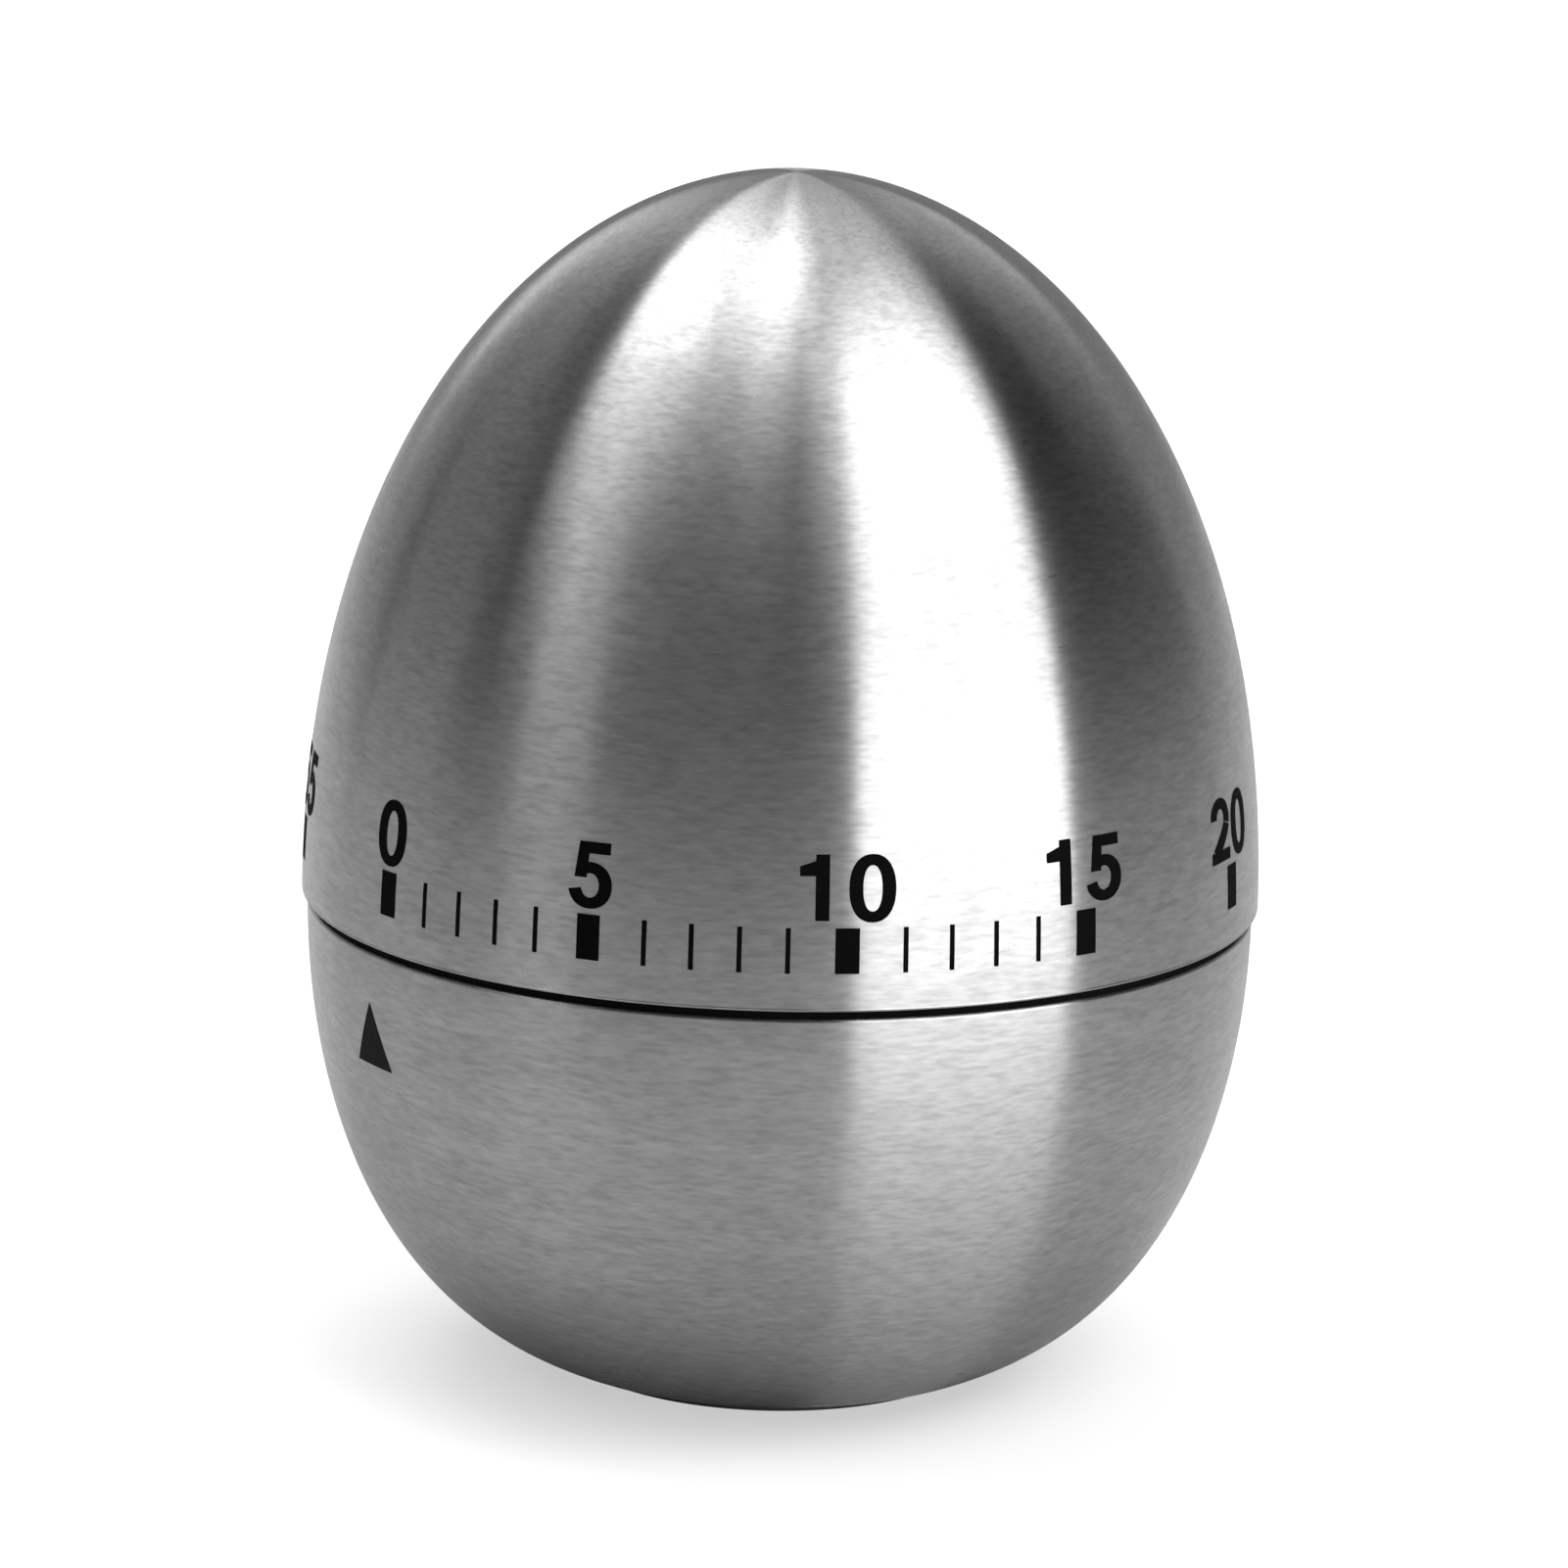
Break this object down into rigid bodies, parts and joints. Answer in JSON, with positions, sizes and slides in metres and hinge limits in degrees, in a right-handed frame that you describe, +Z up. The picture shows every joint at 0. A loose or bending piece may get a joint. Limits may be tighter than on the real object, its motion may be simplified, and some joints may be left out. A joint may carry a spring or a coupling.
{
  "type": "kitchen timer",
  "caption": "Egg-shaped mechanical kitchen timer with a turning upper half, brushed steel skin, geared clockwork movement and bell.",
  "frame": {"origin": "middle of the base, on the surface that the timer stands on", "axes": "+Z up along the egg's axis, -Y towards the pointer mark on the lower half"},
  "size_m": [0.06, 0.06, 0.0757],
  "materials": {
    "brushed": "fine brushing round the egg",
    "black_plastic": "fine moulded texture",
    "rubber": "matt rubber",
    "zinc_plate": "zinc plated sheet",
    "bright_steel": "turned and polished",
    "spring_steel": "tempered blue grey",
    "brass": "stamped brass",
    "nickel": "nickel plated"
  },
  "bodies": {
    "case": {"lower_shell": "brushed", "housing": "black_plastic", "base_plate": "black_plastic", "foot_ring": "rubber", "base_screws": "bright_steel", "bottom_plate": "zinc_plate", "top_plate": "zinc_plate", "pillars": "bright_steel", "pillar_screws": "bright_steel", "movement_screws": "bright_steel", "spring_barrel": "zinc_plate", "mainspring": "spring_steel", "stop_post": "bright_steel", "bell": "nickel", "bell_post": "bright_steel", "bell_screw": "bright_steel", "hammer_spring": "spring_steel"},
    "dial": {"upper_shell": "brushed", "dial_liner": "black_plastic", "main_arbor": "bright_steel", "main_wheel": "brass", "clutch_spring": "spring_steel", "clutch_collar": "brass", "release_cam": "zinc_plate"},
    "second": {"second_arbor": "bright_steel", "second_wheel": "brass"},
    "third": {"third_arbor": "bright_steel", "third_wheel": "brass", "star_wheel": "zinc_plate"},
    "fourth": {"fourth_arbor": "bright_steel", "fourth_wheel": "brass"},
    "escape": {"escape_arbor": "bright_steel", "escape_wheel": "brass"},
    "pallet": {"pallet_arbor": "bright_steel", "pallet_lever": "brass", "pallet_pins": "bright_steel", "balance_weight": "brass"},
    "hammer": {"hammer_arbor": "bright_steel", "release_arm": "zinc_plate", "star_tail": "zinc_plate", "hammer_arm": "zinc_plate", "hammer_head": "brass"}
  },
  "joints": [
    {"name": "dial_turn", "type": "hinge", "parent": "case", "child": "dial", "pos_m": [0, 0, 0.03], "axis": [0, 0, -1], "range_deg": [0, 354]},
    {"name": "second_turn", "type": "hinge", "parent": "case", "child": "second", "pos_m": [-0.01316, -0.00479, 0.02], "axis": [0, 0, 1], "continuous": true},
    {"name": "third_turn", "type": "hinge", "parent": "case", "child": "third", "pos_m": [-0.00798, -0.0121, 0.02], "axis": [0, 0, 1], "continuous": true},
    {"name": "fourth_turn", "type": "hinge", "parent": "case", "child": "fourth", "pos_m": [-0.0001, -0.015, 0.02], "axis": [0, 0, 1], "continuous": true},
    {"name": "escape_turn", "type": "hinge", "parent": "case", "child": "escape", "pos_m": [0.00566, -0.01496, 0.02], "axis": [0, 0, 1], "continuous": true},
    {"name": "pallet_swing", "type": "hinge", "parent": "case", "child": "pallet", "pos_m": [0.01146, -0.01117, 0.02], "axis": [0, 0, 1], "range_deg": [-8, 8]},
    {"name": "hammer_swing", "type": "hinge", "parent": "case", "child": "hammer", "pos_m": [-0.01648, -0.01334, 0.02], "axis": [0, 0, 1], "range_deg": [0, 5]}
  ],
  "couplings": [
    {"joint": "second_turn", "follows": "dial_turn", "ratio": 6},
    {"joint": "third_turn", "follows": "dial_turn", "ratio": -36},
    {"joint": "fourth_turn", "follows": "dial_turn", "ratio": 216},
    {"joint": "escape_turn", "follows": "dial_turn", "ratio": -648}
  ]
}
